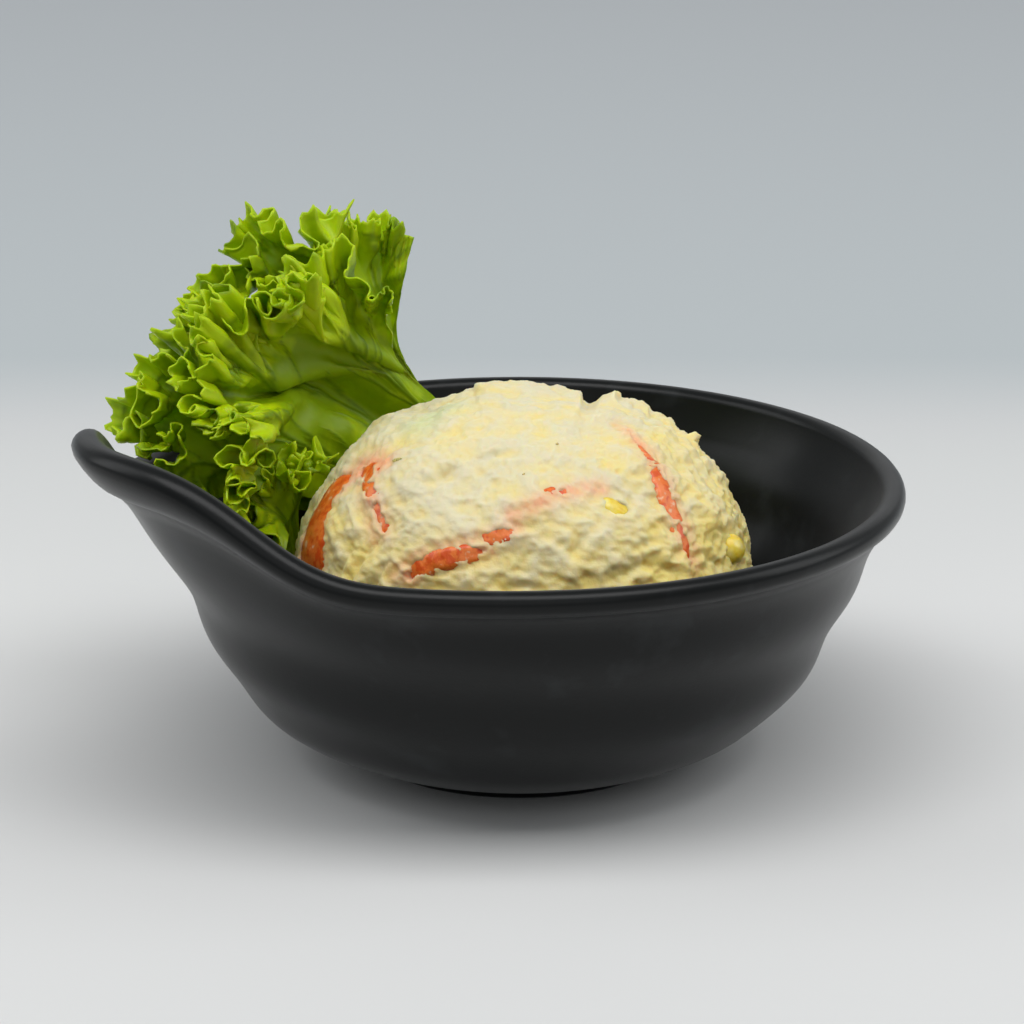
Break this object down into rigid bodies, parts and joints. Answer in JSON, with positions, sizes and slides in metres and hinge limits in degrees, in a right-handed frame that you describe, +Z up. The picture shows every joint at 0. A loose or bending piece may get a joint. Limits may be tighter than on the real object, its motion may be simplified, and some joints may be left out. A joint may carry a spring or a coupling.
{
  "type": "bowl of potato salad",
  "caption": "Small round dark bowl with a pulled-out handle, filled with a scoop of potato salad with carrot and corn in it, and curly green lettuce behind.",
  "frame": {"origin": "centre of the whole object's footprint box, on the surface the bowl's foot stands on", "axes": "+Z up; the bowl's handle points along -X, so +X runs along the longest extent; +Y to the side where the lettuce stands"},
  "size_m": [0.1448, 0.13, 0.0891],
  "materials": {
    "bowl_melamine": "matte black melamine with a soft satin sheen",
    "potato_salad": "moist mashed potato bound with mayonnaise, pale cream",
    "carrot": "moist cooked carrot",
    "corn": "moist sweet corn skin",
    "lettuce": "fresh waxy lettuce leaf"
  },
  "bodies": {
    "root": {"bowl": "bowl_melamine", "potato_salad": "potato_salad", "carrot_slice_left": "carrot", "carrot_strip_left": "carrot", "carrot_slice_front": "carrot", "carrot_bit_front": "carrot", "carrot_bit_middle": "carrot", "carrot_slice_right": "carrot", "corn_kernel_front": "corn", "corn_kernel_right": "corn", "lettuce_leaf_front": "lettuce", "lettuce_leaf_back": "lettuce", "lettuce_curl": "lettuce"}
  },
  "joints": []
}
